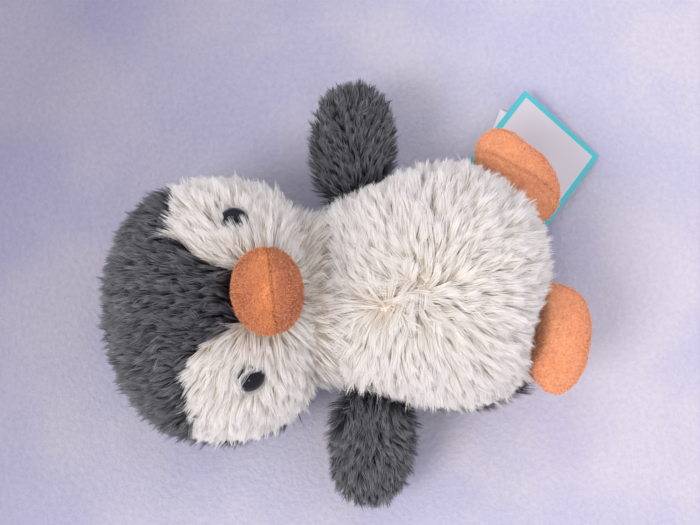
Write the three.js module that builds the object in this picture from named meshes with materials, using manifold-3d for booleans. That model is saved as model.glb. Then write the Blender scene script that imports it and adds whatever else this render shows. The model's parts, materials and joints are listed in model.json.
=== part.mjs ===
// A plush penguin lying on its back.
// Millimetres. +X runs from the crown of the head towards the feet, +Y is the penguin's left, and +Z is up,
// out of its belly. The origin is the middle of the flat patch of the back that it rests on.
import * as THREE from "three";
import { mergeVertices } from "three/addons/utils/BufferGeometryUtils.js";
import Module from "manifold-3d";

const wasm = await Module();
wasm.setup();

// ---- driving dimensions ----

const GAP = 0.3; // between sewn pieces that touch
const PILE = 5; // a fur panel: backing cloth and the dense foot of its pile
const VELOUR = 1.6; // the short-pile cloth of the beak and feet
const WING_CLOTH = 2.6; // shorter than the fur of the body
const BIG = 400; // larger than the whole toy, for cutting halves

const TORSO = {
  axisHeight: 42,
  flatten: 0.93, // height over width
  // distance along the body, then half-width, from inside the neck to the base
  profile: [[-62, 0], [-61, 22], [-56, 31], [-48, 33], [-40, 35], [-28, 39.5], [-14, 44.8], [2, 49],
    [15, 49.8], [27, 46.4], [36.5, 39.5], [43, 29.5], [47.3, 16], [48.8, 0]],
  sideSeamHeight: 38,
  baseSeamX: 34,
};
const HEAD = { centre: [-89, 0, 43.5], radii: [45, 53, 46.5], squareness: 0.93 };
const NECK = {
  pivot: [-50, 0, 42], clearRadius: 32, bandRadius: 30, bandHalf: 8, bandGap: 0.8, coreRadius: 24, grooveAngle: 10,
};

const FACE = {
  lowestZ: 41, // the face patches end at the sides of the head
  wedgeAtBeak: 11.5, // half-width of the grey wedge between the patches
  wedgeSpread: 20, // degrees that each edge of the wedge turns outwards, towards the crown
  wedgeFootX: -74,
  capX: -104, // the patches end here and the cap begins
  chinX: -60,
};
const CAP_SPLIT_Z = 46; // the crown gusset above, the two back pieces below

const BEAK = { centre: [-69.6, 0, 93], radii: [14.3, 17.2, 17], seamX: -67.5 };
const EYE = {
  x: -80, spread: 33, radius: 6, rise: 4.2, rimThick: 1.4, pressed: 1.6, // it presses the pile down that far
  shank: 2, shankLength: 12, washer: 6.5, washerThick: 1.2,
};

const WING = {
  halfLength: 28, halfWidth: 16.5, halfThick: 6.6, root: [-29, 43, 42], overlap: 6, squareness: 0.78,
};
const WING_POSE = { left: { sweep: 9, droop: 8 }, right: { sweep: 8, droop: 28 } };
const WING_SWING = 25;

const FOOT = { halfLength: 24, halfWidth: 15, halfHeight: 12.5, squareness: 0.86, hingeInset: 4, seamTilt: 12 };
const FOOT_POSE = {
  left: { centre: [45, 45.5, 40], turn: 33, rise: 12, seamOffset: -1 },
  right: { centre: [52.5, -28.5, 42], turn: 10, rise: 0, seamOffset: 7 },
};
const FOOT_SWING = 18;

// the tag leans from its fastener, under the left foot, down to the floor at its far corner
const TAG = {
  side: 48, thick: 0.5, leafGap: 0.4, cornerRadius: 1.2, hole: 1.6, holeInset: 4.5,
  corner: [28.5, 58.5, 15.2], heading: -45, lean: 12,
};
const FASTENER = { radius: 0.6, headRadius: 2.6, headThick: 0.8, seam: [26, 34, 16], play: 1.3 };
const LABEL = { width: 18, length: 55, thick: 0.4, seam: [31, 35, 10], heading: 59.5, lean: 9.4 };

// ---- colours ----

const cloth = (color) => new THREE.MeshStandardMaterial({ color, roughness: 0.95, metalness: 0 });
const CREAM_FUR = cloth(0xe9e2da);
const GREY_FUR = cloth(0x4b4c50);
const ORANGE = cloth(0xe8935a);
const STUFFING = cloth(0xf4f4f2);
const SATIN = cloth(0xf2f0f4);
const BLACK_PLASTIC = new THREE.MeshStandardMaterial({ color: 0x0b0b10, roughness: 0.08, metalness: 0 });
const WASHER_PLASTIC = new THREE.MeshStandardMaterial({ color: 0xe6e6e0, roughness: 0.45, metalness: 0 });
const NYLON = new THREE.MeshStandardMaterial({ color: 0xf0f0f0, roughness: 0.35, metalness: 0 });
const CARD = new THREE.MeshStandardMaterial({ color: 0xf1eef0, roughness: 0.55, metalness: 0 });

// ---- helpers: solids ----

const radians = THREE.MathUtils.degToRad;

function solid(geometry) {
  const bare = geometry.index ? geometry.toNonIndexed() : geometry.clone();
  bare.deleteAttribute("normal");
  bare.deleteAttribute("uv");
  const merged = mergeVertices(bare, 1e-4);
  const mesh = new wasm.Mesh({
    numProp: 3,
    vertProperties: new Float32Array(merged.attributes.position.array),
    triVerts: new Uint32Array(merged.index.array),
  });
  mesh.merge();
  return new wasm.Manifold(mesh);
}

function geometryOf(manifold) {
  const { vertProperties, triVerts, numProp } = manifold.getMesh();
  const geometry = new THREE.BufferGeometry();
  const count = vertProperties.length / numProp;
  const position = new Float32Array(count * 3);
  for (let i = 0; i < count; i += 1) {
    for (let axis = 0; axis < 3; axis += 1) {
      position[3 * i + axis] = vertProperties[numProp * i + axis];
    }
  }
  geometry.setAttribute("position", new THREE.BufferAttribute(position, 3));
  geometry.setIndex(new THREE.BufferAttribute(triVerts, 1));
  geometry.computeVertexNormals();
  return geometry;
}

// the largest body of a cut, without the slivers that a curved cut can leave
function mainBody(manifold) {
  const bodies = manifold.decompose();
  return bodies.reduce((best, body) => (body.volume() > best.volume() ? body : best));
}

function box(low, high) {
  const geometry = new THREE.BoxGeometry(high[0] - low[0], high[1] - low[1], high[2] - low[2]);
  geometry.translate((low[0] + high[0]) / 2, (low[1] + high[1]) / 2, (low[2] + high[2]) / 2);
  return solid(geometry);
}

const above = (z) => box([-BIG, -BIG, z], [BIG, BIG, BIG]);
const below = (z) => box([-BIG, -BIG, -BIG], [BIG, BIG, z]);
const beyondX = (x) => box([x, -BIG, -BIG], [BIG, BIG, BIG]);
const beforeX = (x) => box([-BIG, -BIG, -BIG], [x, BIG, BIG]);

// an ellipsoid whose outline is a little fuller than an ellipse when squareness is under 1
function pad(centre, radii, squareness = 1, across = 14, along = 10) {
  const geometry = new THREE.SphereGeometry(1, across, along);
  const position = geometry.attributes.position;
  const point = new THREE.Vector3();
  for (let i = 0; i < position.count; i += 1) {
    point.fromBufferAttribute(position, i);
    const full = ["x", "y", "z"].map((axis, k) => {
      const size = Math.abs(point[axis]) < 1e-9 ? 0 : Math.abs(point[axis]) ** squareness;
      return Math.sign(point[axis]) * size * radii[k];
    });
    position.setXYZ(i, full[0], full[1], full[2]);
  }
  geometry.translate(...centre);
  return solid(geometry);
}

const grown = (radii, by) => radii.map((radius) => radius + by);

function ball(centre, radius, across = 16, along = 12) {
  return pad(centre, [radius, radius, radius], 1, across, along);
}

// a turned shape lying along X: pairs of distance along the axis and radius
function turned(points, segments) {
  const outline = points.map(([along, radius]) => new THREE.Vector2(Math.max(radius, 0), along));
  const geometry = new THREE.LatheGeometry(outline, segments);
  geometry.rotateZ(-Math.PI / 2);
  return solid(geometry);
}

// a straight rod, or a cone, from one point to another
function rod(from, to, radius, endRadius = radius, segments = 10) {
  const start = new THREE.Vector3(...from);
  const end = new THREE.Vector3(...to);
  const geometry = new THREE.CylinderGeometry(endRadius, radius, start.distanceTo(end), segments);
  const turn = new THREE.Quaternion().setFromUnitVectors(
    new THREE.Vector3(0, 1, 0),
    end.clone().sub(start).normalize(),
  );
  geometry.applyQuaternion(turn);
  geometry.translate(...start.add(end).multiplyScalar(0.5).toArray());
  return solid(geometry);
}

// turns a solid about an axis through a point
function swung(body, point, axis, degrees) {
  const matrix = new THREE.Matrix4()
    .makeTranslation(...point)
    .multiply(new THREE.Matrix4().makeRotationAxis(new THREE.Vector3(...axis).normalize(), radians(degrees)))
    .multiply(new THREE.Matrix4().makeTranslation(...point.map((value) => -value)));
  return body.transform(matrix.elements);
}

// cuts from a limb everything that the torso would reach while the limb swings
function relieved(limb, obstacle, point, axis, reach) {
  let left = limb;
  for (const share of [-1, 0, 1]) {
    left = left.subtract(swung(obstacle, point, axis, share * reach));
  }
  return mainBody(left);
}

// ---- the torso and head as whole forms ----

function torsoForm(inset) {
  const rough = new THREE.SplineCurve(TORSO.profile.map(([x, r]) => new THREE.Vector2(x, r)));
  const samples = rough.getPoints(14);
  const moved = samples.map((point, i) => {
    const before = samples[Math.max(i - 1, 0)];
    const after = samples[Math.min(i + 1, samples.length - 1)];
    const along = after.clone().sub(before).normalize();
    return [point.x + along.y * inset, point.y - along.x * inset];
  });
  moved[0][1] = 0;
  moved[moved.length - 1][1] = 0;
  const kept = moved.filter(([, radius], i) => i === 0 || i === moved.length - 1 || radius > 0.5);
  const form = turned(kept, 22).scale([1, 1, TORSO.flatten]).translate([0, 0, TORSO.axisHeight]);
  return form.intersect(above(inset));
}

function headForm(inset) {
  const form = pad(HEAD.centre, grown(HEAD.radii, -inset), HEAD.squareness, 22, 14);
  return form.intersect(above(inset));
}

// everything on the head's side or the torso's side of the groove at the neck
function neckSide(direction) {
  const open = 90 - NECK.grooveAngle;
  const reach = 90;
  const [x, y, z] = NECK.pivot;
  const cone = rod([x, y, z], [x + direction * reach, y, z], 0.01, reach * Math.tan(radians(open)), 22);
  return cone.subtract(ball(NECK.pivot, NECK.clearRadius));
}

const onTorso = neckSide(1).add(beyondX(NECK.pivot[0] + 80));
const onHead = neckSide(-1).add(beforeX(NECK.pivot[0] - 80));

const torsoOuter = torsoForm(0);
const headOuter = headForm(0);
const torsoShell = torsoOuter.subtract(torsoForm(PILE)).intersect(onTorso);
const headShell = headOuter.subtract(headForm(PILE)).intersect(onHead);

// ---- eyes ----

function headNormal(x, y) {
  const [cx, cy, cz] = HEAD.centre;
  const power = 2 / HEAD.squareness;
  const u = Math.abs((x - cx) / HEAD.radii[0]) ** power;
  const v = Math.abs((y - cy) / HEAD.radii[1]) ** power;
  const z = cz + HEAD.radii[2] * (1 - u - v) ** (1 / power);
  const gradient = [x - cx, y - cy, z - cz].map((delta, k) => {
    const share = Math.abs(delta / HEAD.radii[k]) ** (power - 1);
    return (Math.sign(delta) * share) / HEAD.radii[k];
  });
  return { point: new THREE.Vector3(x, y, z), normal: new THREE.Vector3(...gradient).normalize() };
}

const along = (seat, distance) => seat.point.clone().addScaledVector(seat.normal, distance).toArray();

function eyeParts(side) {
  const seat = headNormal(EYE.x, side * EYE.spread);
  const domeRadius = (EYE.radius ** 2 + EYE.rise ** 2) / (2 * EYE.rise);
  const base = EYE.pressed - PILE;
  const domeFoot = base + EYE.rimThick;
  const dome = ball(along(seat, domeFoot + EYE.rise - domeRadius), domeRadius, 12, 10)
    .intersect(rod(along(seat, domeFoot), along(seat, base + 10), EYE.radius + 2));
  const rim = rod(along(seat, base), along(seat, domeFoot + 0.1), EYE.radius, EYE.radius, 16);
  const shank = rod(along(seat, base + 0.1), along(seat, base - EYE.shankLength), EYE.shank);
  const washerTop = -PILE - GAP;
  const washer = rod(along(seat, washerTop), along(seat, washerTop - EYE.washerThick), EYE.washer)
    .subtract(rod(along(seat, washerTop + 1), along(seat, washerTop - 3), EYE.shank + 0.05));
  return {
    eye: dome.add(rim).add(shank),
    washer,
    inPanel: rod(along(seat, base - GAP), along(seat, 12), EYE.radius + 0.6, EYE.radius + 1.2)
      .add(rod(along(seat, 4), along(seat, -PILE - 2), EYE.shank + GAP))
      .add(rod(along(seat, washerTop + GAP), along(seat, -2 * PILE), EYE.washer + GAP)),
    inStuffing: rod(along(seat, 4), along(seat, base - EYE.shankLength - GAP), EYE.shank + GAP)
      .add(rod(along(seat, 4), along(seat, washerTop - EYE.washerThick - GAP), EYE.washer + GAP)),
  };
}

const eyes = { left: eyeParts(1), right: eyeParts(-1) };
const eyeSeats = eyes.left.inPanel.add(eyes.right.inPanel);
const eyeWells = eyes.left.inStuffing.add(eyes.right.inStuffing);

// ---- the head's panels ----

// the grey wedge between the face patches, seen from above and grown by a margin
function wedgePrism(margin) {
  const foot = FACE.wedgeAtBeak + margin;
  const reach = 120;
  const spread = Math.tan(radians(FACE.wedgeSpread)) * reach;
  const outline = new THREE.Shape([
    new THREE.Vector2(FACE.wedgeFootX + reach, foot),
    new THREE.Vector2(FACE.wedgeFootX, foot),
    new THREE.Vector2(FACE.wedgeFootX - reach, foot + spread),
    new THREE.Vector2(FACE.wedgeFootX - reach, -foot - spread),
    new THREE.Vector2(FACE.wedgeFootX, -foot),
    new THREE.Vector2(FACE.wedgeFootX + reach, -foot),
  ]);
  return solid(new THREE.ExtrudeGeometry(outline, { depth: BIG, bevelEnabled: false }));
}

function headPanels() {
  const faceEnd = FACE.capX;
  const half = GAP / 2;
  const front = headShell.intersect(above(FACE.lowestZ + half)).intersect(beyondX(faceEnd + half));
  const chin = front.intersect(beyondX(FACE.chinX + half));
  const patches = front.subtract(wedgePrism(half)).intersect(beforeX(FACE.chinX - half)).subtract(eyeSeats);
  const cap = headShell.intersect(above(CAP_SPLIT_Z + half)).intersect(beforeX(faceEnd - half));
  const wedge = headShell
    .intersect(above(CAP_SPLIT_Z + half))
    .intersect(beyondX(faceEnd - 1))
    .intersect(beforeX(FACE.chinX - half))
    .intersect(wedgePrism(-half));
  const back = headShell.subtract(above(FACE.lowestZ - half))
    .add(headShell.intersect(below(CAP_SPLIT_Z - half)).intersect(beforeX(faceEnd - half)));
  return {
    crown_gusset: mainBody(cap.add(wedge)),
    face_left: mainBody(patches.intersect(box([-BIG, 0, 0], [BIG, BIG, BIG]))),
    face_right: mainBody(patches.intersect(box([-BIG, -BIG, 0], [BIG, 0, BIG]))),
    chin_panel: mainBody(chin),
    head_back_left: mainBody(back.intersect(box([-BIG, half, 0], [BIG, BIG, BIG]))),
    head_back_right: mainBody(back.intersect(box([-BIG, -BIG, 0], [BIG, -half, BIG]))),
  };
}

// ---- beak ----

function beakParts() {
  const seat = headForm(-GAP);
  const outer = pad(BEAK.centre, BEAK.radii, 0.96, 14, 10).subtract(seat);
  const inner = pad(BEAK.centre, grown(BEAK.radii, -VELOUR), 0.96, 14, 10);
  const shell = outer.subtract(inner);
  return {
    beak_upper: mainBody(shell.intersect(beforeX(BEAK.seamX - GAP / 2))),
    beak_lower: mainBody(shell.intersect(beyondX(BEAK.seamX + GAP / 2))),
    beak_stuffing: mainBody(
      pad(BEAK.centre, grown(BEAK.radii, -VELOUR - GAP), 0.96, 14, 10).subtract(headForm(-GAP)),
    ),
  };
}

// ---- limbs: two cloth shells and their stuffing ----

function limb(outer, inner, core, split) {
  const shell = outer.subtract(inner);
  return {
    first: mainBody(shell.intersect(split(GAP / 2))),
    second: mainBody(shell.subtract(split(-GAP / 2))),
    stuffing: mainBody(core),
  };
}

function wingParts(side, pose) {
  const [rootX, rootY, rootZ] = WING.root;
  const root = [rootX, side * rootY, rootZ];
  const centreOut = WING.halfLength - WING.overlap;
  const place = (body) => {
    const drooped = swung(body, [0, 0, 0], [1, 0, 0], -side * pose.droop);
    return swung(drooped, [0, 0, 0], [0, 0, 1], -pose.sweep).translate(root);
  };
  const radii = [WING.halfWidth, WING.halfLength, WING.halfThick];
  const form = (inset) => place(pad([0, side * centreOut, 0], grown(radii, -inset), WING.squareness, 14, 10));
  const obstacle = torsoForm(-GAP);
  const cut = (body) => relieved(body, obstacle, root, [1, 0, 0], WING_SWING);
  return limb(
    cut(form(0)),
    form(WING_CLOTH),
    cut(form(WING_CLOTH + GAP)),
    (margin) => place(box([-BIG, -BIG, margin], [BIG, BIG, BIG])),
  );
}

function footParts(side, pose) {
  const place = (body) => {
    const raised = swung(body, [0, 0, 0], [1, 0, 0], side * pose.rise);
    return swung(raised, [0, 0, 0], [0, 0, 1], side * pose.turn).translate(pose.centre);
  };
  const radii = [FOOT.halfWidth, FOOT.halfLength, FOOT.halfHeight];
  const form = (inset) => place(pad([0, 0, 0], grown(radii, -inset), FOOT.squareness, 14, 10));
  const obstacle = torsoForm(-GAP);
  const hinge = footHinge(side);
  const cut = (body) => relieved(body, obstacle, hinge.point, hinge.axis, FOOT_SWING);
  const soleSide = (margin) => {
    const half = box([pose.seamOffset + margin, -BIG, -BIG], [BIG, BIG, BIG]);
    return place(swung(half, [0, 0, 0], [0, 1, 0], FOOT.seamTilt));
  };
  return limb(cut(form(0)), form(VELOUR), cut(form(VELOUR + GAP)), soleSide);
}

// a foot swings about the line where it is sewn to the base
function footHinge(side) {
  const pose = side > 0 ? FOOT_POSE.left : FOOT_POSE.right;
  const turn = radians(side * pose.turn);
  const inward = FOOT.halfWidth - FOOT.hingeInset;
  const [x, y, z] = pose.centre;
  return {
    point: [x - inward * Math.cos(turn), y - inward * Math.sin(turn), z],
    axis: [-Math.sin(turn), Math.cos(turn), 0],
  };
}

// ---- tag and care label ----

// a leaf of the folded card: its fold is along X, and its holed corner is at the origin
function tagLeaf(low) {
  const size = TAG.side;
  const r = TAG.cornerRadius;
  const outline = new THREE.Shape();
  outline.moveTo(r, 0);
  outline.absarc(size - r, r, r, -Math.PI / 2, 0);
  outline.absarc(size - r, size - r, r, 0, Math.PI / 2);
  outline.absarc(r, size - r, r, Math.PI / 2, Math.PI);
  outline.absarc(r, r, r, Math.PI, 1.5 * Math.PI);
  const hole = new THREE.Path();
  hole.absarc(TAG.holeInset, TAG.holeInset, TAG.hole, 0, 2 * Math.PI, true);
  outline.holes.push(hole);
  const settings = { depth: TAG.thick, bevelEnabled: false, curveSegments: 4 };
  const geometry = new THREE.ExtrudeGeometry(outline, settings);
  geometry.translate(0, 0, low);
  return solid(geometry);
}

function tagPlace() {
  const diagonal = new THREE.Matrix4().makeRotationZ(radians(TAG.heading));
  const lean = new THREE.Matrix4().makeRotationY(radians(TAG.lean));
  return new THREE.Matrix4().makeTranslation(...TAG.corner).multiply(lean).multiply(diagonal);
}

function tagParts() {
  const place = tagPlace();
  const put = (body) => body.transform(place.elements);
  const hole = (height) => new THREE.Vector3(TAG.holeInset, TAG.holeInset, height);
  const at = (height) => hole(height).applyMatrix4(place).toArray();
  const top = 2 * TAG.thick + TAG.leafGap;
  const headTop = top + FASTENER.play + FASTENER.headThick;
  const pin = rod(at(-GAP - FASTENER.headThick / 2), at(headTop - FASTENER.headThick / 2), FASTENER.radius)
    .add(rod(at(-GAP), at(-GAP - FASTENER.headThick), FASTENER.headRadius))
    .add(rod(at(headTop - FASTENER.headThick), at(headTop), FASTENER.headRadius));
  const tail = rod(at(headTop - FASTENER.headThick / 2), FASTENER.seam, FASTENER.radius);
  return {
    tag_back_leaf: put(tagLeaf(0)),
    tag_front_leaf: put(tagLeaf(TAG.thick + TAG.leafGap)),
    tag_fastener: mainBody(pin.add(tail).subtract(torsoForm(-GAP))),
  };
}

function careLabel() {
  const { width, length, thick, seam, heading, lean } = LABEL;
  const strip = box([0, -width / 2, 0], [length, width / 2, thick]);
  const leaning = swung(strip, [0, 0, 0], [0, 1, 0], lean);
  const placed = swung(leaning, [0, 0, 0], [0, 0, 1], heading).translate(seam);
  return mainBody(placed.subtract(torsoForm(-GAP)));
}

// ---- the assembly ----

const toy = new THREE.Group();

function addPiece(group, name, body, material) {
  const mesh = new THREE.Mesh(geometryOf(body), material);
  mesh.name = name;
  group.add(mesh);
}

function addTorso() {
  const group = new THREE.Group();
  const half = GAP / 2;
  const seam = TORSO.sideSeamHeight;
  const lower = torsoShell.intersect(below(seam - half));
  addPiece(group, "belly_panel", mainBody(torsoShell.intersect(above(seam + half))), CREAM_FUR);
  addPiece(group, "back_panel", mainBody(lower.intersect(beforeX(TORSO.baseSeamX - half))), GREY_FUR);
  addPiece(group, "base_panel", mainBody(lower.intersect(beyondX(TORSO.baseSeamX + half))), GREY_FUR);
  addPiece(group, "body_stuffing", mainBody(torsoForm(PILE + GAP).intersect(onTorso)), STUFFING);
  addPiece(group, "care_label", careLabel(), SATIN);
  toy.add(group);
}

function addNeck() {
  const group = new THREE.Group();
  const [x] = NECK.pivot;
  const core = ball(NECK.pivot, NECK.coreRadius, 12, 8);
  const band = ball(NECK.pivot, NECK.bandRadius, 14, 10)
    .subtract(ball(NECK.pivot, NECK.coreRadius + NECK.bandGap, 14, 10))
    .intersect(beyondX(x - NECK.bandHalf))
    .intersect(beforeX(x + NECK.bandHalf));
  addPiece(group, "neck_stuffing", core, STUFFING);
  addPiece(group, "neck_seam_band", mainBody(band), CREAM_FUR);
  toy.add(group);
}

function addHead() {
  const group = new THREE.Group();
  const panels = headPanels();
  const grey = ["crown_gusset", "head_back_left", "head_back_right"];
  for (const [name, body] of Object.entries(panels)) {
    addPiece(group, name, body, grey.includes(name) ? GREY_FUR : CREAM_FUR);
  }
  const stuffing = headForm(PILE + GAP).intersect(onHead).subtract(eyeWells);
  addPiece(group, "head_stuffing", mainBody(stuffing), STUFFING);
  for (const [side, parts] of Object.entries(eyes)) {
    addPiece(group, `eye_${side}`, mainBody(parts.eye), BLACK_PLASTIC);
    addPiece(group, `eye_washer_${side}`, parts.washer, WASHER_PLASTIC);
  }
  const beak = beakParts();
  addPiece(group, "beak_upper", beak.beak_upper, ORANGE);
  addPiece(group, "beak_lower", beak.beak_lower, ORANGE);
  addPiece(group, "beak_stuffing", beak.beak_stuffing, STUFFING);
  toy.add(group);
}

function addLimbs() {
  for (const [name, side] of [["left", 1], ["right", -1]]) {
    const group = new THREE.Group();
    const wing = wingParts(side, WING_POSE[name]);
    addPiece(group, `wing_${name}_front`, wing.first, GREY_FUR);
    addPiece(group, `wing_${name}_back`, wing.second, GREY_FUR);
    addPiece(group, `wing_${name}_stuffing`, wing.stuffing, STUFFING);
    const foot = footParts(side, FOOT_POSE[name]);
    addPiece(group, `foot_${name}_sole`, foot.first, ORANGE);
    addPiece(group, `foot_${name}_upper`, foot.second, ORANGE);
    addPiece(group, `foot_${name}_stuffing`, foot.stuffing, STUFFING);
    toy.add(group);
  }
}

function addTag() {
  const group = new THREE.Group();
  for (const [name, body] of Object.entries(tagParts())) {
    addPiece(group, name, body, name === "tag_fastener" ? NYLON : CARD);
  }
  toy.add(group);
}

addTorso();
addNeck();
addHead();
addLimbs();
addTag();

export default toy;
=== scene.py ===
"""Looks for the plush penguin: padded skins, mesh fur, velour beak and feet, eyes, tag and label."""

import json
import math

import bpy
import numpy as np
from mathutils import Matrix, Vector
from mathutils.bvhtree import BVHTree
from mathutils.kdtree import KDTree
from mathutils.noise import noise_vector, seed_set


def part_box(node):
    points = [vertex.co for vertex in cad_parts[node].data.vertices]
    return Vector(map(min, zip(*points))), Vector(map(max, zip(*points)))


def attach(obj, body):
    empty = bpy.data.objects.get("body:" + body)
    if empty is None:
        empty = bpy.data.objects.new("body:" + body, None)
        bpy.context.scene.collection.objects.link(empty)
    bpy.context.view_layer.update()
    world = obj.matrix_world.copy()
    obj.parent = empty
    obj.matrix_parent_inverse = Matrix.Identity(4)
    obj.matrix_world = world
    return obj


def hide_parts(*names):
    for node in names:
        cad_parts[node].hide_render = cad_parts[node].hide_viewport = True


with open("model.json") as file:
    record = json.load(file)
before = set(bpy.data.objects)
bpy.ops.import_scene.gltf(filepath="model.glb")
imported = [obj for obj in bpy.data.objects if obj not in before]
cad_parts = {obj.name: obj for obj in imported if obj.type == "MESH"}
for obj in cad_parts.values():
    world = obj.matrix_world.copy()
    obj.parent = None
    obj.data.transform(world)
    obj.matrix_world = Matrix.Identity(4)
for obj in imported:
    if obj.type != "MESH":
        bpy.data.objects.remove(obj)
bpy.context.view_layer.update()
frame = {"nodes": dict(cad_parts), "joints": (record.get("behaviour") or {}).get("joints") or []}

MM = 0.001
SEED = 7
NODES = frame["nodes"]

# ---- camera ----

CAMERA_PLACE = (-67.5, -48.0, 512.8)  # mm, nearly straight above the toy
CAMERA_AIM = (-33.2, 14.2, 44.0)
CAMERA_ROLL = -0.114
LENS = 56.6

# ---- light, in W and m ----

KEY_POWER = 49.0
FILL_POWER = 6.0
CATCHLIGHT_POWER = 0.9
WORLD_STRENGTH = 0.86
LIGHT_AIM = (-0.03, 0.0, 0.04)

# ---- fur, in mm ----

FUR_DENSITY = 4.0  # strands for each square millimetre of skin
SKIN_INSET = 3.4
STRAND_WIDTH = 0.38
STRAND_STATIONS = (0.0, 0.35, 0.7, 1.0)
STRAND_SHAPE = (1.0, 0.95, 0.7)  # width at each station but the tip, as a share of the root's
FACING_SPREAD = 0.45  # how unevenly the strands' flat sides face outward
LOOSE_SHARE = 0.2  # of the strands, that hardly follow their lock
SWIRL = 0.6  # how far the pile wanders, in waves of SWIRL_SIZE
SWIRL_SIZE = 9.0
MOST_STRANDS = 36000  # in one piece
FLOOR_CLEARANCE = 0.4
TONES = 12
UV_LAYER = "OFBake"  # one column for each tone, root to tip up it

PARTING = np.array([[-30.0, -12.0, 88.0], [-10.0, -7.0, 88.0]])  # the belly's pile lies away from this line
TUFT_SIZE = 13.0  # round the parting the pile stands up and points every way
SHAGGY = (24.0, -46.0)  # the grey pile of the back is longest here and shows past the belly
SHAGGY_EXTRA = 0.5
PRESSED = np.array([46.0, -27.0])  # the belly is drawn in here, over the right foot
PRESSED_DEPTH = 9.5
PRESSED_SIZE = 20.0

MUZZLE = np.array([-70.0, 0.0, 84.0])  # the face's pile lies away from here
CAP_EDGE_X = (-103.0, -90.0)  # from the cap's edge to the wedge that runs down between the eyes
CAP_OVERLAP = -1.6  # the cap reaches over the white patches
WEDGE_OVERLAP = 2.6  # how far the patches reach over the wedge
EYE_GAPS = {"left": (4.4, (-0.4, 2.4, 0.0)), "right": (6.0, (0.2, -0.6, 0.0))}  # radius and shift
# painted shade: the left wing's strands are darkened, for the shade on its side away from the key light
WING_PAINTED_SHADE = {"left": -0.14, "right": 0.0}  # added to each strand's tone

NECK_PIVOT = np.array([-50.0, 0.0, 42.0])
NECK_TORSO = (-38.0, 26.0)  # no fur grows nearer to the neck than this x within this radius
NECK_HEAD = (-60.0, 27.0)
NECK_RING_DENSITY = 1.4
NECK_RING_RADIUS = 28.0
NECK_SIDE_Z = 34.0  # where cream meets grey

# ---- beak and feet, in mm ----

BEAK_SEAM_X = -67.5
FOOT_INNER = 1.03  # how much thicker a foot is at its inner end
FOOT_TAPERS = {"left": 0.2, "right": 0.34}
FOOT_WAISTS = {"left": (0.12, 0.38), "right": (0.07, 0.1)}  # depth, and place as a share of half the foot
FOOT_SEAMS = {"left": (0.0, 9.0), "right": (-6.0, 0.0)}  # the seam's shift and slant
FOOT_BEDDING = 3.5  # how far a foot's inner side sinks into the fur
FUZZ_DENSITY = 6.0
FUZZ_LENGTH = 1.3
FUZZ_WIDTH = 0.2

# ---- eyes, tag and label, in mm ----

EYE_RADIUS = 6.0
EYE_BULGE = 6.4  # the dome's own radius
EYE_SHANK = [(0.05, -16.5), (2.0, -16.3), (2.0, -5.6), (5.6, -5.6), (6.0, -5.2), (6.0, -4.4)]
EYE_STEPS = 14
CARD_GAP = 0.45  # from the fold's plane to the middle of each leaf
CARD_THICK = 0.44
CARD_CURL = 0.35
# painted shade: the card's white is toned down for the shadow that the foot beside it casts
CARD_WHITE_PAINTED_SHADE = (0.61, 0.57, 0.61)
CARD_TEAL = (0.055, 0.50, 0.56)
CARD_BAND = 0.052  # the band's width, as a share of the card's
LABEL_FLAT = (18.0, 55.0)  # width and length of the cut
LABEL_THICK = 0.3
LABEL_WAVE = 0.9
SHEET_STEPS = 24


# ---- small helpers ----


def unit(vectors):
    length = np.linalg.norm(vectors, axis=-1, keepdims=True)
    return vectors / np.maximum(length, 1e-9)


def tangent(directions, normals):
    along = np.sum(directions * normals, axis=1, keepdims=True)
    return unit(directions - along * normals)


def node_mesh(*names):
    """Vertices in mm and triangles of one or more CAD nodes, as one pair of arrays."""
    places, triangles, count = [], [], 0
    for name in names:
        mesh = NODES[name].data
        mesh.calc_loop_triangles()
        own = np.empty(len(mesh.vertices) * 3)
        mesh.vertices.foreach_get("co", own)
        corners = np.empty(len(mesh.loop_triangles) * 3, np.int32)
        mesh.loop_triangles.foreach_get("vertices", corners)
        places.append(own.reshape(-1, 3) / MM)
        triangles.append(corners.reshape(-1, 3) + count)
        count += len(places[-1])
    return np.concatenate(places), np.concatenate(triangles)


def mesh_from(name, places, faces, smooth=True):
    """A mesh from vertices in mm and an array of faces that all have as many corners."""
    mesh = bpy.data.meshes.new(name)
    sides = faces.shape[1]
    mesh.vertices.add(len(places))
    mesh.vertices.foreach_set("co", (np.asarray(places) * MM).astype(np.float32).ravel())
    mesh.loops.add(faces.size)
    mesh.loops.foreach_set("vertex_index", faces.astype(np.int32).ravel())
    mesh.polygons.add(len(faces))
    mesh.polygons.foreach_set("loop_start", np.arange(0, faces.size, sides, dtype=np.int32))
    mesh.polygons.foreach_set("use_smooth", np.full(len(faces), smooth))
    mesh.update(calc_edges=True)
    return mesh


def add_object(name, mesh, material=None):
    thing = bpy.data.objects.new(name, mesh)
    bpy.context.scene.collection.objects.link(thing)
    if material:
        mesh.materials.append(material)
    return thing


def applied(thing):
    """Swaps a piece's mesh for the one its modifiers make, and removes the modifiers."""
    graph = bpy.context.evaluated_depsgraph_get()
    mesh = bpy.data.meshes.new_from_object(thing.evaluated_get(graph))
    thing.modifiers.clear()
    thing.data = mesh
    return thing


def vertices_of(mesh):
    places = np.empty(len(mesh.vertices) * 3)
    mesh.vertices.foreach_get("co", places)
    return places.reshape(-1, 3) / MM


def normals_of(mesh):
    normals = np.empty(len(mesh.vertices) * 3)
    mesh.vertices.foreach_get("normal", normals)
    return normals.reshape(-1, 3)


def set_vertices(mesh, places):
    mesh.vertices.foreach_set("co", (places * MM).astype(np.float32).ravel())
    mesh.update()


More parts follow.
